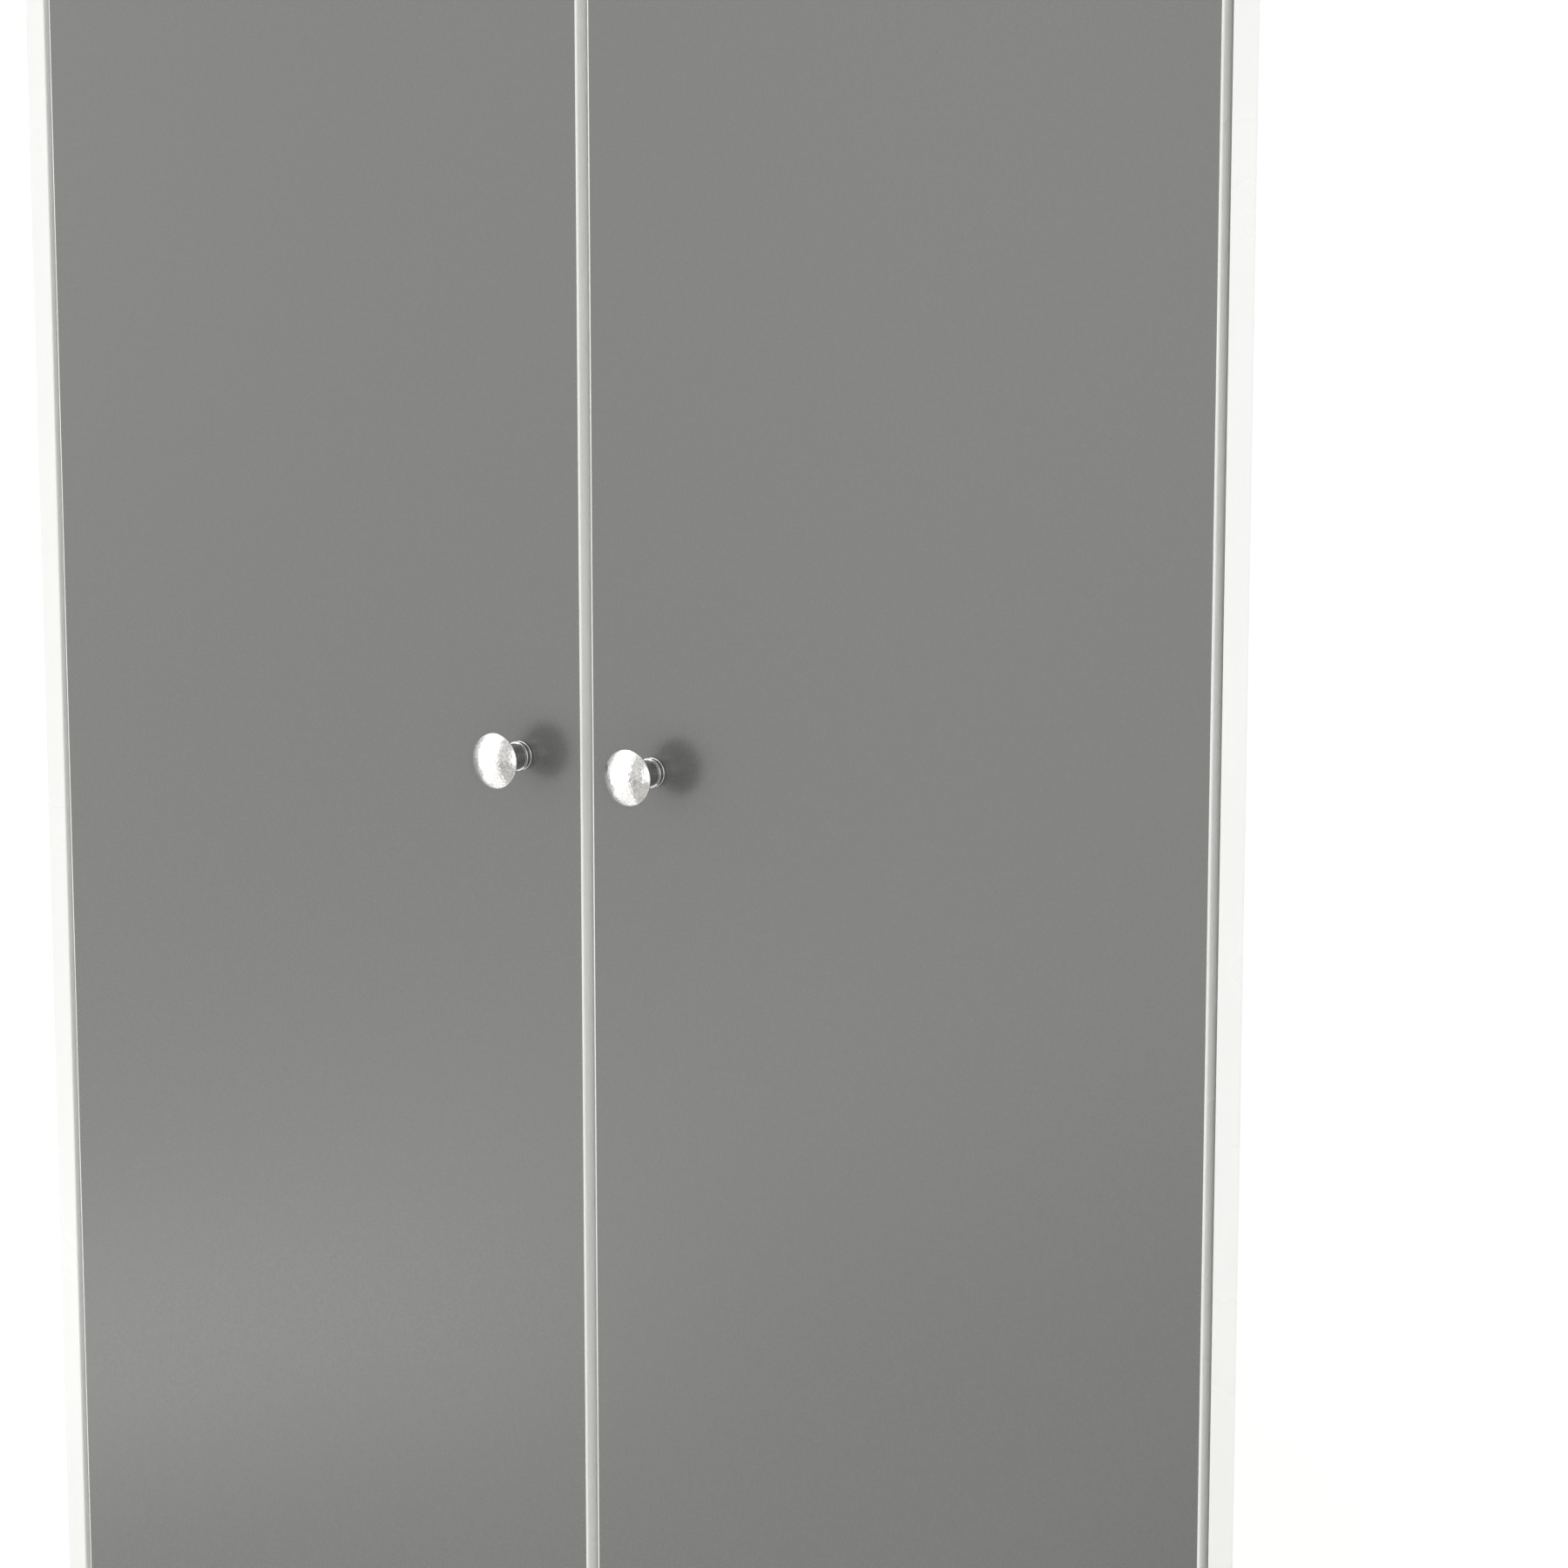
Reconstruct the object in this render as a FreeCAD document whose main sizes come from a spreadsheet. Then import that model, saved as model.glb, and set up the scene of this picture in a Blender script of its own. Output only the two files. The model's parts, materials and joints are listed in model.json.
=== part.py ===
import FreeCAD, Part
import os
import re

import Sketcher

# A free-standing two-door armoire: white carcass boards, two grey inset doors on
# top and bottom pivots, a hanging bay on the left and a shelf bay on the right.
# Millimetres, +Z up, front towards -Y. The origin lies on the floor, under the
# middle of the whole armoire, knobs and back strip included.

Vector = FreeCAD.Vector

# Driving dimensions: each cell holds one plain number.
SIZES = {
    "overall_width": "900",
    "overall_height": "1850",
    "carcass_depth": "550",
    "board": "16",
    "band": "1.0",
    "band_round": "0.8",
    "glide_height": "5",
    "glide_radius": "7.5",
    "glide_taper": "1.5",
    "plinth_height": "75",
    "plinth_recess": "20",
    "hat_space": "300",
    "shelf_play": "0.5",
    "shelf_setback": "3",
    "shelf_step": "352",
    "pin_pitch": "32",
    "pin_radius": "2.5",
    "pin_inset": "60",
    "pin_depth": "10",
    "pin_reach": "8",
    "pin_collar": "0.8",
    "pin_collar_length": "1.5",
    "back_sheet": "3",
    "back_margin": "2",
    "strip_flange": "1.0",
    "strip_web": "1.2",
    "strip_width": "24",
    "nail_radius": "0.7",
    "nail_head_radius": "2.0",
    "nail_head": "0.8",
    "nail_length": "16",
    "nail_margin": "45",
    "side_nails": "8",
    "rail_width": "15",
    "rail_drop": "30",
    "rail_wall": "1.0",
    "rail_below": "60",
    "socket_wall": "3",
    "socket_depth": "14",
    "socket_ear": "14",
    "screw_from_cup": "6",
    "cam_radius": "7.5",
    "cam_depth": "12.5",
    "cam_inset": "34",
    "cam_from_edge": "60",
    "cam_slot_width": "1.2",
    "cam_slot_depth": "1.5",
    "bolt_radius": "3",
    "bolt_bite": "11",
    "bolt_play": "0.5",
    "dowel_radius": "4",
    "dowel_length": "34",
    "dowel_step": "32",
    "screw_radius": "1.5",
    "screw_head_radius": "3.0",
    "screw_head": "1.8",
    "screw_length": "14",
    "long_screw_radius": "3.5",
    "long_screw_head_radius": "4.8",
    "long_screw_length": "48",
    "bracket": "2",
    "bracket_leg": "40",
    "bracket_width": "30",
    "anchor_spacing": "600",
    "anchor_radius": "3",
    "anchor_drop": "26",
    "anchor_play": "1",
    "door_board": "16",
    "door_gap": "5",
    "meeting_gap": "7.5",
    "door_proud": "0.9",
    "door_behind": "3",
    "door_band": "1.3",
    "door_round": "1.0",
    "face_sheet": "0.8",
    "leaf": "2",
    "leaf_inset": "1",
    "leaf_length": "58",
    "leaf_margin": "1",
    "washer": "1.0",
    "washer_radius": "6",
    "pivot_radius": "3",
    "pivot_bite": "12",
    "bush_radius": "4.5",
    "bush_floor": "1",
    "running_play": "0.05",
    "hole_play": "0.05",
    "knob_height": "940",
    "knob_inset": "46.25",
    "knob_length": "31.5",
    "knob_radius": "16.8",
    "knob_dome": "6.0",
    "knob_rim": "1.4",
    "knob_lip": "0.7",
    "knob_flare": "4",
    "neck_radius": "8.1",
    "collar_radius": "8.9",
    "collar_length": "5.2",
    "knob_screw_radius": "2",
    "knob_screw_head_radius": "4",
    "knob_screw_head": "2.2",
    "knob_screw_bite": "12",
    "strike": "1.0",
    "strike_width": "28",
    "strike_height": "12",
    "catch_width": "46",
    "catch_depth": "20",
    "catch_height": "24",
    "catch_centre": "40",
    "catch_screw_offset": "18.5",
    "magnet_width": "26",
    "magnet_height": "12",
    "magnet_depth": "10",
    "magnet_out": "1.5",
    "magnet_gap": "0.3",
}

# Places worked out from the sizes, in the terms that the boards share.
PLACES = {
    "knob_out": "door_proud + knob_length",
    "front": "(knob_out - carcass_depth - back_sheet - strip_flange) / 2",
    "rear": "front + carcass_depth",
    "half_width": "overall_width / 2",
    "inner_x": "half_width - board",
    "under_top": "overall_height - board",
    "under_bottom": "glide_height + plinth_height",
    "deck": "under_bottom + board",
    "end_gap": "2 * leaf + washer",
    "door_low": "deck + end_gap",
    "door_high": "under_top - end_gap",
    "door_width": "inner_x - door_gap - meeting_gap / 2",
    "door_front": "front - door_proud",
    "door_back": "door_front + door_board",
    "inner_front": "door_back + door_behind",
    "under_hat": "under_top - hat_space - board",
    "pivot_x": "inner_x - door_gap - door_board / 2",
    "pivot_y": "door_front + door_board / 2",
    "leaf_width": "door_board - 2 * leaf_inset",
    "shelf_end": "pin_collar_length + shelf_play",
    "rail_z": "under_hat - rail_below",
    "rail_y": "(inner_front + rear) / 2",
    "knob_x": "meeting_gap / 2 + knob_inset",
    "anchor_z": "under_top - anchor_drop",
    "strike_z": "door_high - strike_height / 2 - 2 * door_band",
    "catch_front": "door_back + strike + magnet_gap + magnet_out",
}

document = FreeCAD.newDocument("Armoire")
sheet = document.addObject("Spreadsheet::Sheet", "Sizes")
for row, (alias, number) in enumerate(SIZES.items(), start=1):
    sheet.set(f"A{row}", alias.replace("_", " "))
    sheet.set(f"B{row}", number)
    sheet.setAlias(f"B{row}", alias)
document.recompute()


# ---------------------------------------------------------------- formulas

def formula(text):
    """Spell a formula of sizes and places out in cells of the sheet."""
    def spell(match):
        word = match.group(0)
        if word in PLACES:
            return f"({formula(PLACES[word])})"
        return f"Sizes.{word}" if word in SIZES else word
    return re.sub(r"[a-z]+(?:_[a-z]+)*", spell, str(text))


def value(text):
    """The number that a formula gives now, in millimetres."""
    return float(sheet.evalExpression(formula(text)))


def bind(thing, **formulas):
    """Bind properties of a document object to formulas."""
    for name, text in formulas.items():
        thing.setExpression(name, formula(text))


def put(thing, at, rotation=None):
    """Turn a document object, and bind its place to three formulas."""
    thing.Placement = FreeCAD.Placement(Vector(), rotation or FreeCAD.Rotation())
    for letter, text in zip("xyz", at):
        thing.setExpression(f"Placement.Base.{letter}", formula(text))


def frame_rotation(across, up):
    """The turn that takes local X and Y to two given directions."""
    across = Vector(across)
    up = Vector(up)
    return FreeCAD.Rotation(across, up, across.cross(up), "XYZ")


# The turn that points local +Z each way along the axes.
POINTING = {
    "+X": FreeCAD.Rotation(Vector(0, 1, 0), 90),
    "-X": FreeCAD.Rotation(Vector(0, 1, 0), -90),
    "+Y": FreeCAD.Rotation(Vector(1, 0, 0), -90),
    "-Y": FreeCAD.Rotation(Vector(1, 0, 0), 90),
    "+Z": FreeCAD.Rotation(),
    "-Z": FreeCAD.Rotation(Vector(1, 0, 0), 180),
}


# ---------------------------------------------------------------- pieces

SUBPARTS = []


def subpart(thing, label):
    """Name a finished sub-part and keep it for export."""
    thing.Label = label
    SUBPARTS.append(thing)
    return thing


def box(at, size):
    """A block from its low corner and its three lengths."""
    block = document.addObject("Part::Box", "block")
    bind(block, Length=size[0], Width=size[1], Height=size[2])
    put(block, at)
    return block


def rod(at, way, radius, length):
    """A round bar from one end, along one of the axes."""
    bar = document.addObject("Part::Cylinder", "rod")
    bind(bar, Radius=radius, Height=length)
    put(bar, at, POINTING[way])
    return bar


def taper(at, way, first_radius, last_radius, length):
    """A round bar that tapers from one radius to another."""
    cone = document.addObject("Part::Cone", "taper")
    bind(cone, Radius1=first_radius, Radius2=last_radius, Height=length)
    put(cone, at, POINTING[way])
    return cone


def joined(pieces):
    """Pieces fused into one solid."""
    fused = document.addObject("Part::MultiFuse", "joined")
    fused.Shapes = pieces
    return fused


def group(pieces):
    """Separate solids kept together as one sub-part."""
    kept = document.addObject("Part::Compound", "group")
    kept.Links = pieces
    return kept


def cut(blank, tools):
    """A blank with tools cut out of it, or the blank itself if there are none."""
    if not tools:
        return blank
    drilled = document.addObject("Part::Cut", "drilled")
    drilled.Base = blank
    drilled.Tool = group(tools)
    return drilled


def step(at, way, length):
    """A place moved along an axis by a formula."""
    letter = "XYZ".index(way[1])
    moved = [str(text) for text in at]
    moved[letter] = f"({moved[letter]}) {way[0]} ({length})"
    return moved


def countersunk(at, way, play="0"):
    """A small wood screw with its flat head's face at a place, pointing along a way."""
    head = taper(at, way, f"screw_head_radius + {play}", f"screw_radius + {play}", "screw_head")
    return joined([head, rod(at, way, f"screw_radius + {play}", f"screw_length + {play}")])


# Two points nearer than this are the same point.
TOUCHING = 1e-6


def polygon(sketch, corners):
    """Draw one closed outline of straight runs and arcs.

    Each corner is (across, up) or (across, up, radius), as formulas. A radius makes
    the run that leaves the corner an arc, that bulges to the right of its direction.
    A half circle, only ever across a level line, is held by its centre instead.
    """
    first = len(sketch.Geometry)
    count = len(corners)
    spots = [Vector(value(corner[0]), value(corner[1]), 0) for corner in corners]
    for number, corner in enumerate(corners):
        start = spots[number]
        end = spots[(number + 1) % count]
        if len(corner) == 3:
            chord = end - start
            radius = value(corner[2])
            half = chord.Length / 2
            rise = radius - max(radius ** 2 - half ** 2, 0) ** 0.5
            side = Vector(chord.y, -chord.x, 0).normalize()
            crown = start + chord / 2 + side * rise
            sketch.addGeometry(Part.Arc(start, crown, end), False)
        else:
            sketch.addGeometry(Part.LineSegment(start, end), False)
    ends = []
    for number in range(count):
        here = first + number
        straight = sketch.getPoint(here, 1).distanceToPoint(spots[number]) < TOUCHING
        ends.append((1, 2) if straight else (2, 1))
    for number, corner in enumerate(corners):
        here = first + number
        after = (number + 1) % count
        begin, finish = ends[number]
        sketch.addConstraint(Sketcher.Constraint(
            "Coincident", here, finish, first + after, ends[after][0]))
        spot = spots[number]
        for kind, distance, text in (("DistanceX", spot.x, corner[0]), ("DistanceY", spot.y, corner[1])):
            index = sketch.addConstraint(Sketcher.Constraint(kind, -1, 1, here, begin, distance))
            sketch.setExpression(f"Constraints[{index}]", formula(text))
        if len(corner) == 3:
            half_circle = abs(spots[after].distanceToPoint(spot) / 2 - value(corner[2])) < TOUCHING
            if half_circle:
                index = sketch.addConstraint(Sketcher.Constraint("DistanceY", -1, 1, here, 3, spot.y))
            else:
                index = sketch.addConstraint(Sketcher.Constraint("Radius", here, value(corner[2])))
            sketch.setExpression(f"Constraints[{index}]", formula(corner[1 if half_circle else 2]))


def sketch_on(body, role, outlines, name="outline"):
    """A sketch of closed outlines on one of a body's own origin planes."""
    sketch = body.newObject("Sketcher::SketchObject", name)
    plane = [feature for feature in body.Origin.OriginFeatures if feature.Role == role][0]
    sketch.AttachmentSupport = [(plane, "")]
    sketch.MapMode = "FlatFace"
    for corners in outlines:
        polygon(sketch, corners)
    return sketch


def padded_body(name, outlines, length):
    """A body that pads outlines in its XY plane along its own Z."""
    body = document.addObject("PartDesign::Body", name)
    pad = body.newObject("PartDesign::Pad", "pad")
    pad.Profile = sketch_on(body, "XY_Plane", outlines)
    bind(pad, Length=length)
    return body


def turned_body(name, corners):
    """A body that turns one outline in its XZ plane about its own Z."""
    body = document.addObject("PartDesign::Body", name)
    sketch = sketch_on(body, "XZ_Plane", [corners])
    turning = body.newObject("PartDesign::Revolution", "turning")
    turning.Profile = sketch
    turning.ReferenceAxis = (sketch, ["V_Axis"])
    turning.Angle = 360
    return body


def stadium(width, height, grow="0"):
    """The corners of an upright slot shape about the origin, grown all round."""
    half = f"(({width}) / 2 + {grow})"
    straight = f"(({height}) / 2 - ({width}) / 2)"
    return [(half, f"-{straight}"), (half, straight, half),
            (f"-{half}", straight), (f"-{half}", f"-{straight}", half)]


def band_body(at, rotation, width, thickness, rounding, length):
    """An edge band: its outer face on local Y 0, with its two outer edges rounded."""
    corners = [(rounding, "0"), (f"{width} - {rounding}", "0", rounding),
               (width, rounding), (width, thickness),
               ("0", thickness), ("0", rounding, rounding)]
    body = padded_body("band", [corners], length)
    put(body, at, rotation)
    return body


# ---------------------------------------------------------------- fittings

SIDES = {"left": "-1", "right": "1"}
DECKS = {"bottom_panel": "under_bottom", "hat_shelf": "under_hat", "top_panel": "under_top"}
PLINTHS = {"plinth_front": "(front + plinth_recess)", "plinth_rear": "(rear - plinth_recess - board)"}
SHELVES = ("shelf_lower", "shelf_middle", "shelf_upper")

# How far behind the carcass's front the cam fittings of each deck sit.
CAM_DEPTHS = ("cam_from_edge", "carcass_depth - cam_from_edge")

# Where the back's nails enter each deck, as shares of half the width.
NAIL_SHARES = ("0.22", "0.5", "0.78")

# Tools that drill each board, gathered while the fittings are placed.
BORES = {}

# The screws of each door's pivot leaves, kept until the door's other screws join them.
LEAF_SCREWS = {}


def drill(boards, tool):
    """Drill one tool into each named board."""
    for board in boards:
        BORES.setdefault(board, []).append(tool)


def cam_joints():
    """Cam locks, their bolts and the dowels beside them, at both ends of each deck."""
    locks, bolts, dowels = [], [], []
    for deck, low in DECKS.items():
        for side, sign in SIDES.items():
            outward, inward = ("-X", "+X") if side == "left" else ("+X", "-X")
            for depth in CAM_DEPTHS:
                seat = (f"{sign} * (inner_x - cam_inset)", f"front + {depth}", low)
                axis = step(seat, "+Z", "board / 2")
                slot = box(step(step(seat, "-X", "cam_radius / 2"), "-Y", "cam_slot_width / 2"),
                           ("cam_radius", "cam_slot_width", "cam_slot_depth"))
                channel = rod(axis, outward, "bolt_radius + bolt_play", "cam_radius")
                blank = rod(seat, "+Z", "cam_radius - hole_play", "cam_depth - hole_play")
                locks.append(cut(blank, [slot, channel]))
                drill([deck], rod(seat, "+Z", "cam_radius", "cam_depth"))
                drill([deck], rod(axis, outward, "bolt_radius + bolt_play", "cam_inset"))
                tip = (f"{sign} * (inner_x + bolt_bite)", axis[1], axis[2])
                bolts.append(rod(tip, inward, "bolt_radius", "cam_inset + bolt_bite - bolt_play"))
                drill([f"side_panel_{side}"], rod(tip, inward, "bolt_radius + hole_play", "bolt_bite"))
                beside = "dowel_step" if depth == CAM_DEPTHS[0] else "-dowel_step"
                dowel_tip = (tip[0], f"({axis[1]}) + {beside}", axis[2])
                dowels.append(rod(dowel_tip, inward, "dowel_radius", "dowel_length"))
                drill([deck, f"side_panel_{side}"],
                      rod(step(dowel_tip, outward, "hole_play"), inward, "dowel_radius + hole_play",
                          "dowel_length + 2 * hole_play"))
    for plinth, start in PLINTHS.items():
        for side, sign in SIDES.items():
            inward = "+X" if side == "left" else "-X"
            tip = (f"{sign} * (inner_x + bolt_bite)", f"{start} + board / 2",
                   "glide_height + plinth_height / 2")
            dowels.append(rod(tip, inward, "dowel_radius", "dowel_length"))
            drill([plinth, f"side_panel_{side}"],
                  rod(tip, inward, "dowel_radius + hole_play", "dowel_length + hole_play"))
    subpart(group(locks), "cam_locks")
    subpart(group(bolts), "cam_bolts")
    subpart(group(dowels), "dowels")


def divider_screws():
    """Long screws that hold the divider between the bottom panel and the hat shelf."""
    screws = []
    ends = {"bottom_panel": ("under_bottom", "+Z"), "hat_shelf": ("under_hat + board", "-Z")}
    for deck, (height, way) in ends.items():
        for depth in ("inner_front + cam_from_edge", "rear - cam_from_edge"):
            at = ("0", depth, height)
            solids = []
            for play in ("0", "hole_play"):
                head = taper(at, way, f"long_screw_head_radius + {play}",
                             f"long_screw_radius + {play}", "long_screw_radius")
                shaft = rod(at, way, f"long_screw_radius + {play}", f"long_screw_length + {play}")
                solids.append(joined([head, shaft]))
            screws.append(solids[0])
            drill([deck, "divider"], solids[1])
    subpart(group(screws), "divider_screws")


def glides():
    """Nail-on glides: two under each side panel and one under each plinth board."""
    spots = [(f"side_panel_{side}", f"{sign} * (half_width - board / 2)", f"front + {depth}")
             for side, sign in SIDES.items() for depth in CAM_DEPTHS]
    spots += [(plinth, "0", f"{start} + board / 2") for plinth, start in PLINTHS.items()]
    made = []
    for board, across, depth in spots:
        at = (across, depth, "0")
        foot = taper(at, "+Z", "glide_radius - glide_taper", "glide_radius", "glide_height / 2")
        pad = rod(step(at, "+Z", "glide_height / 2"), "+Z", "glide_radius", "glide_height / 2")
        nail_at = step(at, "+Z", "glide_height - nail_head")
        nail = rod(nail_at, "+Z", "nail_radius", "nail_length")
        made.append(joined([foot, pad, nail]))
        drill([board], rod(nail_at, "+Z", "nail_radius + hole_play", "nail_length + hole_play"))
    subpart(group(made), "glides")


def shelf_heights():
    """The underside of each adjustable shelf, from the lowest up."""
    return [f"(deck + {count} * shelf_step)" for count, _ in enumerate(SHELVES, start=1)]


def shelf_pins():
    """Four pins under each shelf, and three rows of pin holes about each of them."""
    pins = []
    walls = {"divider": ("board / 2", "-X", "+X"), "side_panel_right": ("inner_x", "+X", "-X")}
    for underside in shelf_heights():
        for wall, (face, into, out) in walls.items():
            for depth in ("inner_front + pin_inset", "rear - pin_inset"):
                centre = (face, depth, f"{underside} - pin_radius")
                for row in ("-pin_pitch", "0", "pin_pitch"):
                    drill([wall], rod(step(centre, "+Z", row), into, "pin_radius + hole_play",
                                      "pin_depth + hole_play"))
                shank = rod(step(centre, into, "pin_depth"), out, "pin_radius", "pin_depth + pin_reach")
                collar = rod(centre, out, "pin_radius + pin_collar", "pin_collar_length")
                pins.append(joined([shank, collar]))
    subpart(group(pins), "shelf_pins")


def back():
    """Two thin back sheets, the strip that covers their joint, and their nails."""
    nails = []
    low = "under_bottom + back_margin"
    tall = "overall_height - under_bottom - 2 * back_margin"
    wide = "half_width - back_margin - strip_web / 2"

    def nail(across, height, boards):
        at = (across, "rear + back_sheet + nail_head", height)
        head = rod(at, "-Y", "nail_head_radius", "nail_head")
        nails.append(joined([head, rod(at, "-Y", "nail_radius", "nail_length")]))
        drill(boards, rod(at, "-Y", "nail_radius + hole_play", "nail_length + hole_play"))

    for side, sign in SIDES.items():
        for count in range(int(value("side_nails"))):
            nail(f"{sign} * (half_width - board / 2)",
                 f"{low} + nail_margin + {count} * ({tall} - 2 * nail_margin) / (side_nails - 1)",
                 [f"back_sheet_{side}", f"side_panel_{side}"])
        for deck, height in DECKS.items():
            for share in NAIL_SHARES:
                nail(f"{sign} * half_width * {share}", f"{height} + board / 2",
                     [f"back_sheet_{side}", deck])
        start = "-half_width + back_margin" if side == "left" else "strip_web / 2"
        blank = box((start, "rear", low), (wide, "back_sheet", tall))
        anchor = rod((f"{sign} * anchor_spacing / 2", "rear", "anchor_z"), "+Y",
                     "anchor_radius + anchor_play", "back_sheet")
        subpart(cut(blank, BORES[f"back_sheet_{side}"] + [anchor]), f"back_sheet_{side}")
    web = [("-strip_web / 2", "0"), ("strip_web / 2", "0"), ("strip_web / 2", "back_sheet"),
           ("strip_width / 2", "back_sheet"), ("strip_width / 2", "back_sheet + strip_flange"),
           ("-strip_width / 2", "back_sheet + strip_flange"), ("-strip_width / 2", "back_sheet"),
           ("-strip_web / 2", "back_sheet")]
    strip = padded_body("strip", [web], tall)
    put(strip, ("0", "rear", low))
    subpart(strip, "back_joint_strip")
    subpart(group(nails), "back_nails")


def hanging_rail():
    """An oval rail across the left bay, in a socket at each end."""
    shape = frame_rotation((0, 1, 0), (0, 0, 1))
    span = "(inner_x - board / 2)"
    rail = padded_body("rail", [stadium("rail_width", "rail_drop"),
                                stadium("rail_width", "rail_drop", "-rail_wall")],
                       f"{span} - 2 * socket_wall")
    put(rail, ("socket_wall - inner_x", "rail_y", "rail_z"), shape)
    subpart(rail, "hanging_rail")
    screws = []
    outer = ("rail_width + 2 * socket_wall", "rail_drop + 2 * socket_wall")
    for side in SIDES:
        if side == "left":
            at, turn, into, wall = "-inner_x", shape, "-X", "side_panel_left"
        else:
            at, into, wall = "-board / 2", "+X", "divider"
            turn = frame_rotation((0, -1, 0), (0, 0, 1))
        body = padded_body("socket", [stadium(outer[0], f"{outer[1]} + 2 * socket_ear")], "socket_wall")
        cup = body.newObject("PartDesign::Pad", "cup")
        cup.Profile = sketch_on(body, "XY_Plane", [stadium(*outer)], "cup_outline")
        bind(cup, Length="socket_depth")
        pocket = body.newObject("PartDesign::Pocket", "hollow")
        pocket.Profile = sketch_on(body, "XY_Plane", [stadium("rail_width", "rail_drop", "hole_play")],
                                   "hollow_outline")
        pocket.Profile[0].setExpression("AttachmentOffset.Base.z", formula("socket_depth"))
        bind(pocket, Length="socket_depth - socket_wall")
        put(body, (at, "rail_y", "rail_z"), turn)
        holes = []
        for sign in ("-1", "1"):
            lift = f"rail_z + {sign} * (rail_drop / 2 + socket_wall + screw_from_cup)"
            head = step((at, "rail_y", lift), "+X" if side == "left" else "-X", "socket_wall")
            screws.append(countersunk(head, into))
            tool = countersunk(head, into, "hole_play")
            holes.append(tool)
            drill([wall], tool)
        subpart(cut(body, holes), f"rail_socket_{side}")
    subpart(group(screws), "rail_socket_screws")


def wall_brackets():
    """Two steel angles under the top panel's rear, for screws into a wall."""
    made, screws = [], []
    for sign in SIDES.values():
        centre = f"{sign} * anchor_spacing / 2"
        angle = [("0", "0"), ("0", "-bracket_leg"), ("-bracket", "-bracket_leg"),
                 ("-bracket", "-bracket"), ("-bracket_leg", "-bracket"), ("-bracket_leg", "0")]
        body = padded_body("angle", [angle], "bracket_width")
        put(body, (f"{centre} - bracket_width / 2", "rear", "under_top"),
            frame_rotation((0, 1, 0), (0, 0, 1)))
        holes = [rod((centre, "rear - bracket", "anchor_z"), "+Y", "anchor_radius", "bracket")]
        for offset in ("-bracket_width / 4", "bracket_width / 4"):
            at = (f"{centre} + {offset}", "rear - bracket_leg + bracket_width / 2",
                  "under_top - bracket")
            screws.append(countersunk(at, "+Z"))
            tool = countersunk(at, "+Z", "hole_play")
            holes.append(tool)
            drill(["top_panel"], tool)
        made.append(cut(body, holes))
    subpart(group(made), "wall_brackets")
    subpart(group(screws), "wall_bracket_screws")


def pivots():
    """Top and bottom pivot hinges of both doors, on the carcass and on the doors."""
    leaves, pins, washers, screws = [], [], [], []
    ends = {
        "top_panel": ("under_top", "-Z", "+Z", "door_high"),
        "bottom_panel": ("deck", "+Z", "-Z", "door_low"),
    }
    for side, sign in SIDES.items():
        inward = "+X" if side == "left" else "-X"
        door_leaves, bushes, door_screws = [], [], []
        for deck, (face, towards, away, door_end) in ends.items():
            axis = (f"{sign} * pivot_x", "pivot_y", face)
            if side == "left":
                start = "leaf_margin - inner_x"
                door_start = "-pivot_x - leaf_width / 2"
            else:
                start = "inner_x - leaf_margin - leaf_length"
                door_start = "pivot_x + leaf_width / 2 - leaf_length"
            size = ("leaf_length", "leaf_width", "leaf")
            low = face if towards == "+Z" else f"{face} - leaf"
            carcass_leaf = box((start, "pivot_y - leaf_width / 2", low), size)
            low = f"{door_end} - leaf" if towards == "+Z" else door_end
            door_leaf = box((door_start, "pivot_y - leaf_width / 2", low), size)
            pin_length = "2 * leaf + washer + pivot_bite"
            pins.append(rod(axis, towards, "pivot_radius", pin_length))
            socket = rod(axis, towards, "pivot_radius + running_play", f"{pin_length} + bush_floor")
            fixed = rod(axis, towards, "pivot_radius", pin_length)
            washer_at = step(axis, towards, "leaf")
            washers.append(cut(rod(washer_at, towards, "washer_radius", "washer"), [socket]))
            bush_at = (axis[0], axis[1], door_end)
            bush_length = "pivot_bite + 2 * bush_floor"
            bushes.append(cut(rod(bush_at, towards, "bush_radius", bush_length), [socket]))
            drill([f"{side}_door"], rod(bush_at, towards, "bush_radius + hole_play", bush_length))
            carcass_holes, door_holes = [fixed], [socket]
            for reach in ("leaf_length / 3", "leaf_length * 2 / 3"):
                carcass_at = step(step(axis, inward, reach), towards, "leaf")
                door_at = step((step(axis, inward, reach)[0], axis[1], door_end), away, "leaf")
                screws.append(countersunk(carcass_at, away))
                tool = countersunk(carcass_at, away, "hole_play")
                carcass_holes.append(tool)
                drill([deck], tool)
                door_screws.append(countersunk(door_at, towards))
                tool = countersunk(door_at, towards, "hole_play")
                door_holes.append(tool)
                drill([f"{side}_door"], tool)
            leaves.append(cut(carcass_leaf, carcass_holes))
            door_leaves.append(cut(door_leaf, door_holes))
        subpart(group(door_leaves), f"{side}_door_leaves")
        subpart(group(bushes), f"{side}_door_bushes")
        LEAF_SCREWS[side] = door_screws
    subpart(group(leaves), "pivot_leaves")
    subpart(group(pins), "pivot_pins")
    subpart(group(washers), "pivot_washers")
    subpart(group(screws), "pivot_leaf_screws")


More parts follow.
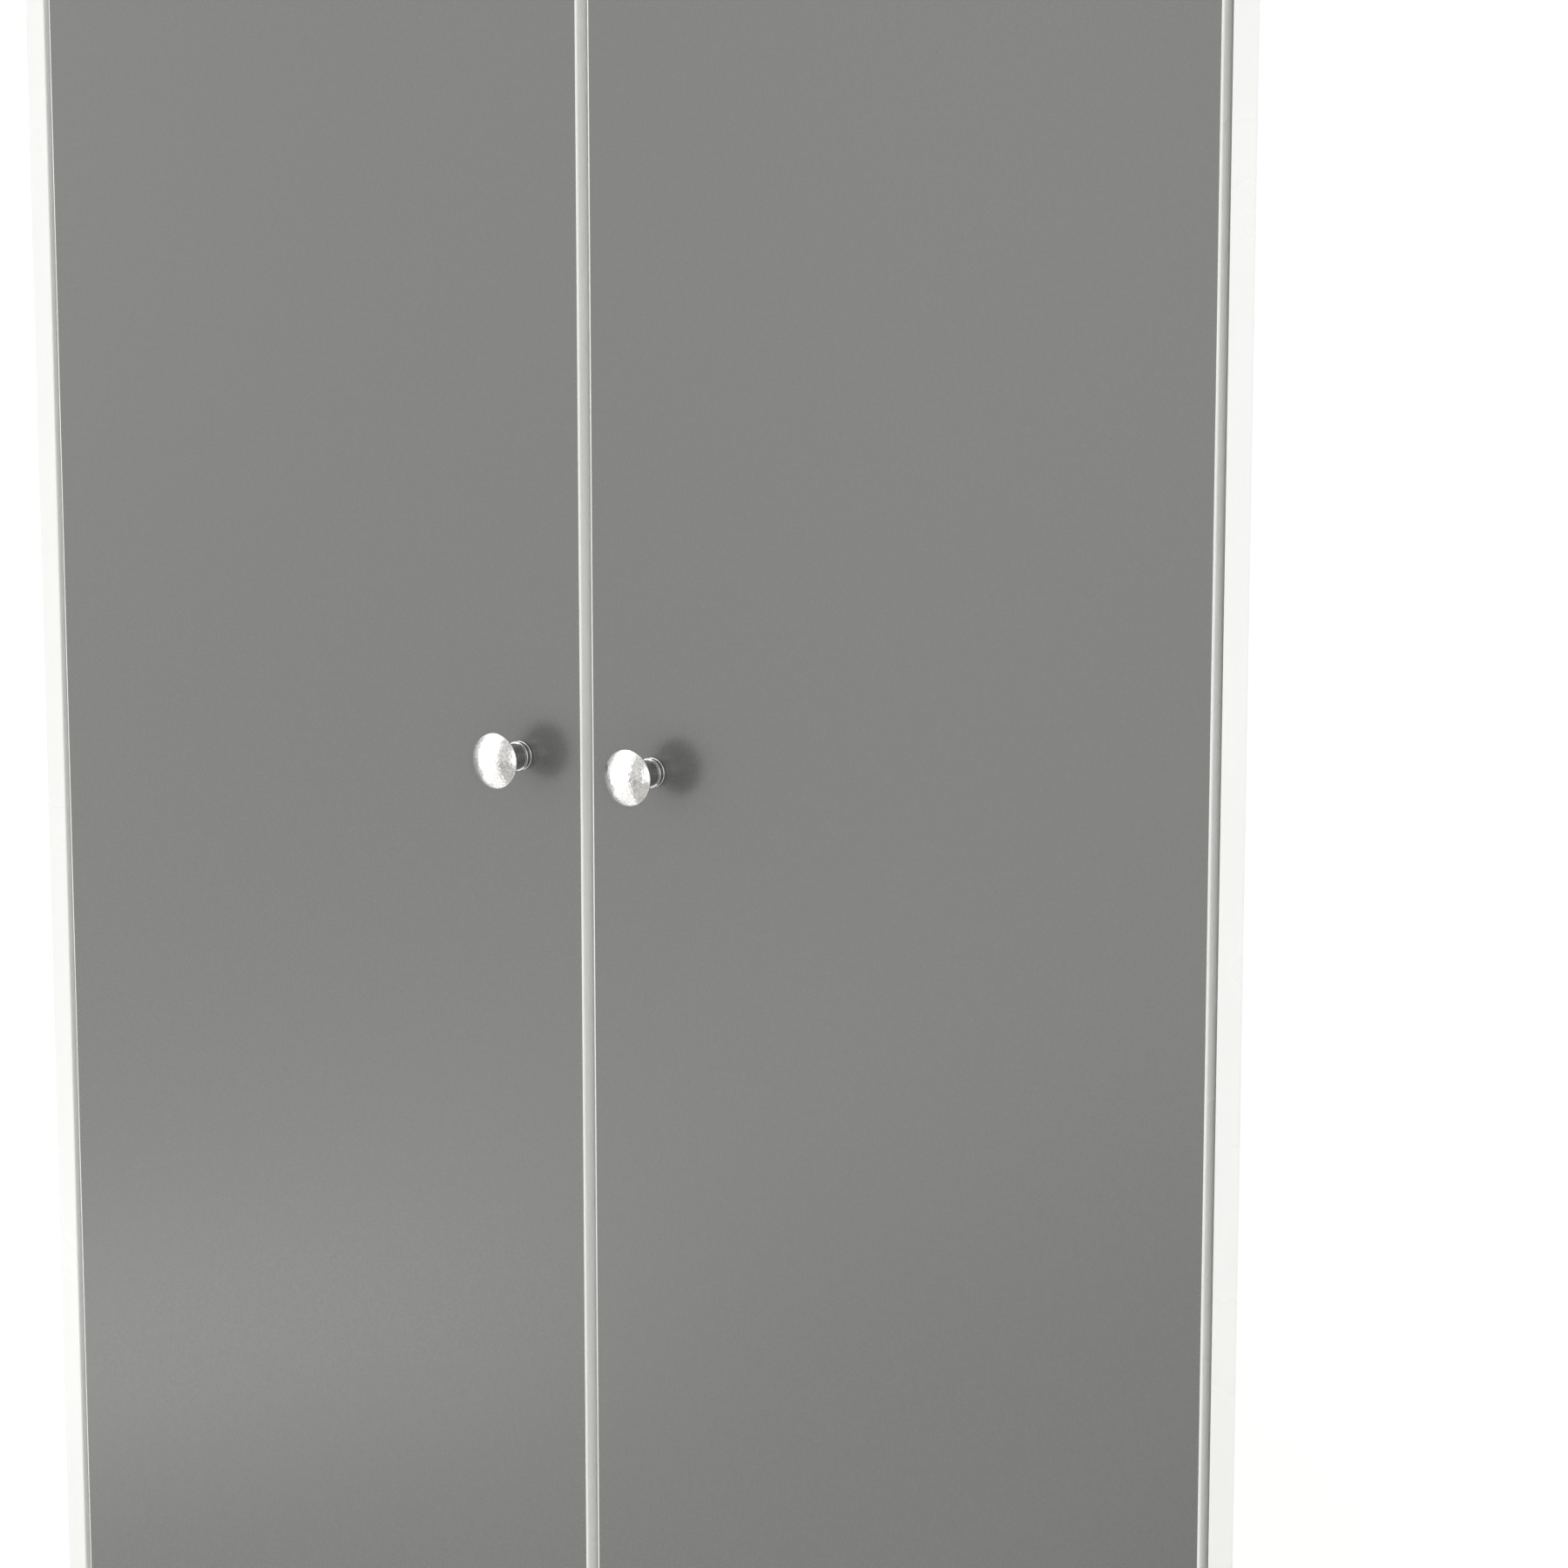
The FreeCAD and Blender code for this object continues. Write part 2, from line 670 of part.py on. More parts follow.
def catches():
    """A magnetic catch under the top panel for each door, and its screws."""
    housings, magnets, screws = [], [], []
    for sign in SIDES.values():
        centre = f"{sign} * catch_centre"
        blank = box((f"{centre} - catch_width / 2", "catch_front", "under_top - catch_height"),
                    ("catch_width", "catch_depth", "catch_height"))
        magnet = box((f"{centre} - magnet_width / 2", "catch_front - magnet_out",
                      "strike_z - magnet_height / 2"),
                     ("magnet_width", "magnet_depth", "magnet_height"))
        magnets.append(magnet)
        holes = [magnet]
        for offset in ("-catch_screw_offset", "catch_screw_offset"):
            at = (f"{centre} + {offset}", "catch_front + catch_depth / 2", "under_top - 2 * screw_head")
            screws.append(countersunk(at, "+Z"))
            tool = countersunk(at, "+Z", "hole_play")
            well = rod(step(at, "-Z", "catch_height"), "+Z", "screw_head_radius + hole_play",
                       "catch_height")
            holes += [tool, well]
            drill(["top_panel"], tool)
        housings.append(cut(blank, holes))
    subpart(group(housings), "magnetic_catches")
    subpart(group(magnets), "catch_magnets")
    subpart(group(screws), "catch_screws")


# ---------------------------------------------------------------- doors

def knob_outline():
    """Half of a mushroom knob's section: neck, flared back, thin rim and low dome."""
    rim_low = "(knob_length - knob_dome - knob_rim)"
    dome_base = "(knob_length - knob_dome)"
    dome_radius = "((knob_radius ^ 2 + knob_dome ^ 2) / (2 * knob_dome))"
    return [("0", "0"), ("neck_radius", "0"), ("neck_radius", f"{rim_low} - knob_flare"),
            ("neck_radius + knob_flare / 3", f"{rim_low} - knob_flare / 2"),
            ("knob_radius - knob_lip", rim_low), ("knob_radius", f"{rim_low} + knob_lip"),
            ("knob_radius", dome_base, dome_radius), ("0", "knob_length")]


def collar_outline():
    """The collar's section: two polished rings, a third of its length each, and a groove."""
    bore = "neck_radius + hole_play"
    groove = "(neck_radius + collar_radius) / 2"
    return [(bore, "0"), ("collar_radius", "0"), ("collar_radius", "collar_length / 3"),
            (groove, "collar_length / 3"), (groove, "collar_length * 2 / 3"),
            ("collar_radius", "collar_length * 2 / 3"), ("collar_radius", "collar_length"),
            (bore, "collar_length")]


def doors():
    """Both doors: core, grey face sheet, edge bands, knob and strike plate."""
    for side, sign in SIDES.items():
        start = "door_gap - inner_x" if side == "left" else "meeting_gap / 2"
        core_size = ("door_width - 2 * door_band", "door_board - face_sheet",
                     "door_high - door_low - 2 * door_band")
        core = box((f"{start} + door_band", "door_front + face_sheet", "door_low + door_band"), core_size)
        face = box((f"{start} + door_band", "door_front", "door_low + door_band"),
                   (core_size[0], "face_sheet", core_size[2]))
        tall = "door_high - door_low - 2 * door_band"
        ring = ("door_board", "door_band", "door_round")
        strips = [
            band_body((start, "door_back", "door_low + door_band"),
                      frame_rotation((0, -1, 0), (1, 0, 0)), *ring, tall),
            band_body((f"{start} + door_width", "door_front", "door_low + door_band"),
                      frame_rotation((0, 1, 0), (-1, 0, 0)), *ring, tall),
            band_body((start, "door_back", "door_high"),
                      frame_rotation((0, -1, 0), (0, 0, -1)), *ring, "door_width"),
            band_body((start, "door_front", "door_low"),
                      frame_rotation((0, 1, 0), (0, 0, 1)), *ring, "door_width"),
        ]
        knob_at = (f"{sign} * knob_x", "door_front", "knob_height")
        bolt_at = (knob_at[0], "door_back", knob_at[2])
        shank = "door_board + knob_screw_bite"
        hole = rod(bolt_at, "-Y", "knob_screw_radius + hole_play", f"{shank} + hole_play")
        drill([f"{side}_door"], hole)
        head = rod(step(bolt_at, "+Y", "knob_screw_head"), "-Y", "knob_screw_head_radius",
                   "knob_screw_head")
        bolt = joined([head, rod(bolt_at, "-Y", "knob_screw_radius", shank)])
        knob = turned_body("knob", knob_outline())
        put(knob, knob_at, POINTING["-Y"])
        collar = turned_body("collar", collar_outline())
        put(collar, knob_at, POINTING["-Y"])
        strike_centre = f"{sign} * catch_centre"
        plate = box((f"{strike_centre} - strike_width / 2", "door_back",
                     "strike_z - strike_height / 2"), ("strike_width", "strike", "strike_height"))
        strike_at = (strike_centre, "door_back + strike", "strike_z")
        pin = countersunk(strike_at, "-Y")
        pin_hole = countersunk(strike_at, "-Y", "hole_play")
        drill([f"{side}_door"], pin_hole)
        tools = BORES[f"{side}_door"]
        subpart(cut(core, tools), f"{side}_door_panel")
        subpart(cut(face, [hole]), f"{side}_door_face")
        subpart(cut(group(strips), tools), f"{side}_door_edging")
        subpart(cut(knob, [hole]), f"{side}_door_knob")
        subpart(collar, f"{side}_door_knob_collar")
        subpart(bolt, f"{side}_door_knob_screw")
        subpart(cut(plate, [pin_hole]), f"{side}_door_strike")
        subpart(group(LEAF_SCREWS[side] + [pin]), f"{side}_door_screws")


# ---------------------------------------------------------------- boards

def boards():
    """Every board of the carcass, drilled for its fittings, and its edge bands."""
    upright = frame_rotation((1, 0, 0), (0, 1, 0))
    lying = frame_rotation((0, 0, 1), (0, 1, 0))
    edge = ("board", "band", "band_round")
    depth = "carcass_depth - band"
    clear_width = "2 * inner_x"
    for side in SIDES:
        start = "-half_width" if side == "left" else "inner_x"
        blank = box((start, "front + band", "glide_height"),
                    ("board", depth, "overall_height - glide_height"))
        subpart(cut(blank, BORES[f"side_panel_{side}"]), f"side_panel_{side}")
        band = band_body((start, "front", "glide_height"), upright, *edge,
                         "overall_height - glide_height")
        subpart(band, f"side_band_{side}")
    for deck in ("bottom_panel", "top_panel"):
        low = DECKS[deck]
        blank = box(("-inner_x", "front + band", low), (clear_width, depth, "board"))
        subpart(cut(blank, BORES[deck]), deck)
        band = band_body(("inner_x", "front", low), lying, *edge, clear_width)
        subpart(band, deck.replace("panel", "band"))
    inner_depth = "rear - inner_front - band"
    hat = box(("-inner_x", "inner_front + band", "under_hat"), (clear_width, inner_depth, "board"))
    subpart(cut(hat, BORES["hat_shelf"]), "hat_shelf")
    wall = box(("-board / 2", "inner_front + band", "deck"), ("board", inner_depth, "under_hat - deck"))
    subpart(cut(wall, BORES["divider"]), "divider")
    bands = [
        band_body(("inner_x", "inner_front", "under_hat"), lying, *edge, clear_width),
        band_body(("-board / 2", "inner_front", "deck"), upright, *edge, "under_hat - deck"),
    ]
    shelf_width = "inner_x - board / 2 - 2 * shelf_end"
    front_edge = "inner_front + shelf_setback"
    start = "board / 2 + shelf_end"
    for name, underside in zip(SHELVES, shelf_heights()):
        shelf = box((start, f"{front_edge} + band", underside),
                    (shelf_width, f"{inner_depth} - shelf_setback", "board"))
        subpart(shelf, name)
        bands.append(band_body((f"{start} + {shelf_width}", front_edge, underside), lying, *edge,
                               shelf_width))
    subpart(group(bands), "inner_bands")
    for plinth, start in PLINTHS.items():
        blank = box(("-inner_x", start, "glide_height"), (clear_width, "board", "plinth_height"))
        subpart(cut(blank, BORES[plinth]), plinth)


cam_joints()
divider_screws()
glides()
shelf_pins()
back()
hanging_rail()
wall_brackets()
pivots()
catches()
doors()
boards()

document.recompute()
for thing in document.Objects:
    if "Invalid" in thing.State or "Error" in thing.State:
        raise ValueError(f"{thing.Name} ({thing.Label}) failed: {thing.State}")
for thing in SUBPARTS:
    if thing.Shape.isNull() or not thing.Shape.isValid() or not thing.Shape.Solids:
        raise ValueError(f"{thing.Label} has no sound solid")
os.makedirs("parts", exist_ok=True)
for thing in SUBPARTS:
    thing.Shape.exportStep(f"parts/{thing.Label}.step")
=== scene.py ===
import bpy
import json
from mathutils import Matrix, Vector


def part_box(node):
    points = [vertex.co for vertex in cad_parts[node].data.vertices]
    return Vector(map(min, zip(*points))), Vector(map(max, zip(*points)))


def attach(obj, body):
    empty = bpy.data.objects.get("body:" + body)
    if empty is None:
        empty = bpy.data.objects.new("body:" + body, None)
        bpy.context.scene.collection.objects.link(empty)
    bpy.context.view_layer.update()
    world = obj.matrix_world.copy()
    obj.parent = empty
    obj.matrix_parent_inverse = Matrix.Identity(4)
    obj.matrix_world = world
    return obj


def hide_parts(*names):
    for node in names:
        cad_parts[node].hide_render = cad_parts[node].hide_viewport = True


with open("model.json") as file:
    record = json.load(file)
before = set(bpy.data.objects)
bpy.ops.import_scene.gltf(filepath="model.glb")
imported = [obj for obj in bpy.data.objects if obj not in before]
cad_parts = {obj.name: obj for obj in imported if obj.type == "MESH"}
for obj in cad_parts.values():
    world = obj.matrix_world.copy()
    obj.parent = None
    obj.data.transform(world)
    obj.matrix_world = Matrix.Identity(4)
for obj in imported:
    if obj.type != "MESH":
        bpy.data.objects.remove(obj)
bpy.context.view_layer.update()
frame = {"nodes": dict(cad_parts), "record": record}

"""The armoire's looks: turned knobs and collars, oval rail, recessed screws, and every finish.

Lengths are metres in the armoire's own frame: +Z up, front towards -Y, floor at 0.
"""

import json
import logging
import math
from dataclasses import dataclass, field
from enum import Enum
from typing import Any, Iterable, Sequence

import bpy
from mathutils import Matrix, Vector

MM = 0.001
MERGE_WITHIN = 0.004 * MM
SAME_PLACE = 0.01 * MM
SENSOR_MM = 36
log = logging.getLogger("armoire")

Socket = bpy.types.NodeSocket
Point = tuple[float, float]


# ------------------------------------------------------------------ small tools

def linear(code: str) -> tuple[float, float, float, float]:
    """Turn an sRGB hex colour into linear light.

    Args:
        code: Six hex digits, with or without a leading #.

    Returns:
        Linear red, green, blue and an alpha of 1.
    """
    digits = code.lstrip("#")
    channels = [int(digits[at:at + 2], 16) / 255 for at in (0, 2, 4)]
    bent = [c / 12.92 if c <= 0.04045 else ((c + 0.055) / 1.055) ** 2.4 for c in channels]
    return (bent[0], bent[1], bent[2], 1.0)


def add_node(tree: bpy.types.NodeTree, kind: str, inputs: dict[Any, Any] | None = None,
             **settings: Any) -> bpy.types.Node:
    """Add one node, set its properties, and fill or link its inputs.

    Args:
        tree: The node tree that takes the node.
        kind: The node's type, without its ShaderNode prefix.
        inputs: Input name or number, to a number, a colour or another node's output.
        **settings: Properties of the node itself.

    Returns:
        The new node.
    """
    made = tree.nodes.new(f"ShaderNode{kind}")
    for name, setting in settings.items():
        setattr(made, name, setting)
    for name, source in (inputs or {}).items():
        if isinstance(source, Socket):
            tree.links.new(source, made.inputs[name])
        else:
            made.inputs[name].default_value = source
    return made


def deselect() -> None:
    """Leave object mode and select nothing."""
    if bpy.context.object and bpy.context.object.mode != "OBJECT":
        bpy.ops.object.mode_set(mode="OBJECT")
    bpy.ops.object.select_all(action="DESELECT")


def take(piece: bpy.types.Object) -> None:
    """Select one piece alone and make it active.

    Args:
        piece: The object to work on.
    """
    deselect()
    piece.select_set(True)
    bpy.context.view_layer.objects.active = piece


def settle(piece: bpy.types.Object) -> None:
    """Put a piece's place, turn and size into its mesh.

    Args:
        piece: The finished object.
    """
    take(piece)
    bpy.ops.object.transform_apply(location=True, rotation=True, scale=True)


def apply_modifier(piece: bpy.types.Object, kind: str, **settings: Any) -> None:
    """Add a modifier, set it and apply it.

    Args:
        piece: The object that takes the modifier.
        kind: The modifier's type.
        **settings: Its properties.
    """
    take(piece)
    modifier = piece.modifiers.new(kind.title(), kind)
    for name, setting in settings.items():
        setattr(modifier, name, setting)
    bpy.ops.object.modifier_apply(modifier=modifier.name)


def smooth(piece: bpy.types.Object, degrees: float = 35.0) -> None:
    """Shade a piece smooth, with edges kept sharp past an angle.

    Args:
        piece: The object to shade.
        degrees: The angle past which an edge stays sharp.
    """
    take(piece)
    bpy.ops.object.shade_smooth_by_angle(angle=math.radians(degrees))


def lathe(name: str, profile: Sequence[Point], foot: Vector, axis: Vector, steps: int) -> bpy.types.Object:
    """Turn a profile about an axis, as on a lathe.

    Args:
        name: The piece's name.
        profile: Radius and reach along the axis, from the first point to the last.
        foot: Where the axis starts.
        axis: The axis's direction, of unit length.
        steps: The number of segments in a full turn.

    Returns:
        The turned piece.
    """
    across = axis.orthogonal().normalized()
    places = [foot + across * radius + axis * reach for radius, reach in profile]
    deselect()
    bpy.ops.mesh.primitive_plane_add(size=MM, location=places[0])
    piece = bpy.context.object
    piece.name = name
    bpy.ops.object.mode_set(mode="EDIT")
    bpy.ops.mesh.select_mode(type="VERT")
    bpy.ops.mesh.merge(type="CENTER")
    for before, after in zip(places, places[1:]):
        bpy.ops.mesh.extrude_region_move(TRANSFORM_OT_translate={"value": after - before})
    bpy.ops.mesh.select_all(action="SELECT")
    bpy.ops.mesh.spin(steps=steps, angle=math.tau, center=foot, axis=axis)
    bpy.ops.mesh.select_all(action="SELECT")
    bpy.ops.mesh.remove_doubles(threshold=MERGE_WITHIN)
    bpy.ops.mesh.normals_make_consistent(inside=False)
    bpy.ops.object.mode_set(mode="OBJECT")
    settle(piece)
    return piece


def arc(centre: Point, radius: float, start: float, end: float, count: int) -> list[Point]:
    """Points on a round stretch of a profile.

    Args:
        centre: The arc's centre, as radius and reach.
        radius: The arc's radius.
        start: The first point's angle in degrees, from the outward direction.
        end: The last point's angle in degrees.
        count: How many spans the arc has.

    Returns:
        The points, both ends included.
    """
    angles = [math.radians(start + (end - start) * step / count) for step in range(count + 1)]
    return [(centre[0] + radius * math.cos(angle), centre[1] + radius * math.sin(angle))
            for angle in angles]


def copy_mesh(piece: bpy.types.Object, name: str, move: Matrix) -> bpy.types.Object:
    """Copy a piece with a mesh of its own, placed by a matrix.

    Args:
        piece: The piece to copy.
        name: The copy's name.
        move: Where the copy goes, applied to its mesh.

    Returns:
        The copy.
    """
    twin = piece.copy()
    twin.data = piece.data.copy()
    twin.data.transform(move)
    twin.name = name
    bpy.context.scene.collection.objects.link(twin)
    return twin


def solids_of(node: str) -> list[list[Vector]]:
    """The corners of each separate solid in a CAD node.

    Args:
        node: The CAD node's name.

    Returns:
        One list of corners for each solid, sorted by their middles.
    """
    mesh = frame["nodes"][node].data
    keys = [tuple(round(c / SAME_PLACE) for c in vertex.co) for vertex in mesh.vertices]
    parent: dict[tuple[int, ...], tuple[int, ...]] = {key: key for key in keys}

    def root(key: tuple[int, ...]) -> tuple[int, ...]:
        """Follow a corner to the one that stands for its solid.

        Args:
            key: The corner's rounded place.

        Returns:
            The rounded place of the corner that stands for them all.
        """
        while parent[key] != key:
            parent[key] = parent[parent[key]]
            key = parent[key]
        return key

    for polygon in mesh.polygons:
        first = root(keys[polygon.vertices[0]])
        for index in polygon.vertices[1:]:
            parent[root(keys[index])] = first
    found: dict[tuple[int, ...], list[Vector]] = {}
    for vertex, key in zip(mesh.vertices, keys):
        found.setdefault(root(key), []).append(vertex.co.copy())
    return [found[key] for key in sorted(found)]


def finish_piece(piece: bpy.types.Object, material: bpy.types.Material, body: str,
                 nodes: Iterable[str] = ()) -> None:
    """Dress a finished piece, parent it to its body and hide the CAD nodes that it stands for.

    Args:
        piece: The finished object.
        material: Its finish.
        body: The CAD body that it rides on.
        nodes: The CAD nodes that it replaces.
    """
    piece.data.materials.clear()
    piece.data.materials.append(material)
    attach(piece, body)
    if nodes:
        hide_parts(*nodes)
    log.info("%s: %d faces", piece.name, len(piece.data.polygons))


# ------------------------------------------------------------------ finishes

class Grain(Enum):
    """How a surface's fine relief runs."""

    PEBBLED = "pebbled"
    BRUSHED = "brushed"
    CLOUDY = "cloudy"
    HAMMERED = "hammered"


@dataclass(frozen=True)
class Finish:
    """One real material and how its surface was made.

    Attributes:
        name: The material's name.
        colour: Its main colour, as sRGB hex.
        shade: A second colour that it drifts towards.
        drift_mm: The size of the drift between its colours.
        roughness: The lowest and highest roughness.
        relief: How its fine relief runs.
        relief_mm: The spacing of the relief.
        height_mm: The relief's height.
        metal: Whether it is bare metal.
        ior: Its index of refraction, where it isn't metal.
        stretch: The relief's scale along each axis, below 1 where it runs long.
    """

    name: str
    colour: str
    shade: str
    drift_mm: float
    roughness: tuple[float, float]
    relief: Grain
    relief_mm: float
    height_mm: float
    metal: bool = False
    ior: float = 1.5
    stretch: tuple[float, float, float] = (1.0, 1.0, 1.0)

    def build(self) -> bpy.types.Material:
        """Make the material.

        Returns:
            The material, reading object coordinates throughout.
        """
        material = bpy.data.materials.new(self.name)
        material.use_nodes = True
        tree = material.node_tree
        shader = tree.nodes["Principled BSDF"]
        shader.inputs["Metallic"].default_value = float(self.metal)
        if not self.metal:
            shader.inputs["IOR"].default_value = self.ior
        where = add_node(tree, "TexCoord").outputs["Object"]
        drift = add_node(tree, "TexNoise", {"Vector": where, "Scale": 1 / (self.drift_mm * MM),
                                            "Detail": 3.0, "Roughness": 0.5})
        blend = add_node(tree, "Mix", {"Factor": drift.outputs[0], 6: linear(self.colour),
                                       7: linear(self.shade)}, data_type="RGBA")
        tree.links.new(blend.outputs[2], shader.inputs["Base Color"])
        wear = add_node(tree, "MapRange", {"Value": drift.outputs[0], "From Min": 0.3, "From Max": 0.7,
                                           "To Min": self.roughness[0], "To Max": self.roughness[1]},
                        interpolation_type="SMOOTHSTEP")
        tree.links.new(wear.outputs[0], shader.inputs["Roughness"])
        height = self.relief_height(tree, where)
        bump = add_node(tree, "Bump", {"Height": height, "Distance": self.height_mm * MM, "Strength": 1.0})
        tree.links.new(bump.outputs[0], shader.inputs["Normal"])
        return material

    def relief_height(self, tree: bpy.types.NodeTree, where: Socket) -> Socket:
        """The fine relief's height, from 0 to 1.

        Args:
            tree: The material's node tree.
            where: Object coordinates.

        Returns:
            The socket that carries the height.
        """
        scale = 1 / (self.relief_mm * MM)
        spread = add_node(tree, "Mapping", {"Vector": where, "Scale": self.stretch}).outputs[0]
        if self.relief is Grain.HAMMERED:
            cells = add_node(tree, "TexVoronoi", {"Vector": spread, "Scale": scale, "Smoothness": 0.6},
                             feature="SMOOTH_F1")
            return cells.outputs["Distance"]
        detail = {Grain.PEBBLED: 2.0, Grain.BRUSHED: 5.0, Grain.CLOUDY: 1.0}[self.relief]
        return add_node(tree, "TexNoise", {"Vector": spread, "Scale": scale, "Detail": detail}).outputs[0]


# Melamine-faced chipboard: satin white, with a faint pearl that breaks up highlights.
WHITE_BOARD = Finish("melamine_faced_chipboard_white", "F1F1EF", "EDEDEA", 320, (0.38, 0.46),
                     Grain.PEBBLED, 0.9, 0.012)
# ABS edge band: a touch whiter and smoother than the board, so edges catch the light.
WHITE_BAND = Finish("abs_edge_band_white", "F5F5F3", "F1F1EF", 90, (0.26, 0.34),
                    Grain.PEBBLED, 1.4, 0.006)
# High-pressure laminate: even mid grey, semi-gloss, with a fine speckle that softens reflections.
GREY_LAMINATE = Finish("high_pressure_laminate_grey", "686967", "666765", 2.0, (0.23, 0.29),
                       Grain.PEBBLED, 1.2, 0.004)
# Painted hardboard: flat white with the pressed board's pebble showing through.
WHITE_HARDBOARD = Finish("painted_hardboard_white", "E9E9E4", "E1E1DB", 60, (0.55, 0.7),
                         Grain.PEBBLED, 1.6, 0.06)
# Moulded nylon: slightly warm white with a waxy, soft shine.
WHITE_NYLON = Finish("moulded_nylon_white", "E8E7E2", "E2E1DC", 14, (0.38, 0.5),
                     Grain.PEBBLED, 0.5, 0.01)
# Hammered nickel plate: bright warm metal whose shallow dents mottle what it mirrors.
HAMMERED_NICKEL = Finish("hammered_nickel_plate", "FFFEFC", "7C7A77", 1.3, (0.10, 0.2),
                         Grain.HAMMERED, 1.1, 0.05, metal=True)
# Polished chrome plate: near-black or near-white, whatever stands around it.
POLISHED_CHROME = Finish("polished_chrome_plate", "C9C9CB", "BFBFC2", 20, (0.04, 0.08),
                         Grain.CLOUDY, 12.0, 0.004, metal=True)
# Bright zinc plate: pale steel with a faint cold drift and soft shine.
ZINC_PLATE = Finish("bright_zinc_plated_steel", "C4C7CB", "B2B7BD", 5, (0.24, 0.38),
                    Grain.PEBBLED, 0.7, 0.008, metal=True)
# Stamped and brushed steel: fine lines along the leaf.
BRUSHED_STEEL = Finish("brushed_nickel_plated_steel", "B9B9BB", "A8A8AB", 10, (0.26, 0.4),
                       Grain.BRUSHED, 0.5, 0.012, metal=True, stretch=(0.06, 1.0, 1.0))
# Die-cast zinc: dull grey metal with a sandy skin.
CAST_ZINC = Finish("die_cast_zinc", "8C8D90", "7E8083", 3, (0.42, 0.58),
                   Grain.PEBBLED, 0.6, 0.03, metal=True)
# Turned beech: pale brown wood with short flecks along the dowel.
TURNED_BEECH = Finish("turned_beech", "C9A173", "B68C5E", 3, (0.5, 0.65),
                      Grain.BRUSHED, 0.8, 0.05, stretch=(0.12, 1.0, 1.0))
# Sintered ferrite: near-black ceramic with a dry, even surface.
SINTERED_FERRITE = Finish("sintered_ferrite", "2A2A2C", "232325", 4, (0.5, 0.65),
                          Grain.PEBBLED, 0.4, 0.02)
# Matt floor paint: pale, almost white, with a broad faint drift like a rolled coat.
FLOOR_PAINT = Finish("matt_floor_paint_pale", "EDEDEB", "E6E6E3", 900, (0.5, 0.7),
                     Grain.PEBBLED, 3, 0.1)

SLOT_FINISHES: dict[str, Finish] = {
    "white_board": WHITE_BOARD, "white_band": WHITE_BAND, "grey_laminate": GREY_LAMINATE,
    "white_hardboard": WHITE_HARDBOARD, "white_plastic": WHITE_NYLON,
    "hammered_nickel": HAMMERED_NICKEL, "polished_chrome": POLISHED_CHROME,
    "zinc_plated_steel": ZINC_PLATE, "hinge_steel": BRUSHED_STEEL, "cam_zinc": CAST_ZINC,
    "beech": TURNED_BEECH, "magnet_black": SINTERED_FERRITE,
}


@dataclass
class Palette:
    """Every finish, built once and looked up by the record's material slot."""

    built: dict[str, bpy.types.Material] = field(default_factory=dict)

    def __getitem__(self, slot: str) -> bpy.types.Material:
        """The material for a slot."""
        if slot not in self.built:
            self.built[slot] = SLOT_FINISHES[slot].build()
        return self.built[slot]

    def dress_cad(self) -> None:
        """Give every CAD node the finish of its slot."""
        for row in frame["record"]["subparts"]:
            node = frame["nodes"][row["node"]]
            node.data.materials.clear()
            node.data.materials.append(self[row["material_slot"]])
        log.info("dressed %d CAD nodes", len(frame["record"]["subparts"]))


# ------------------------------------------------------------------ knobs

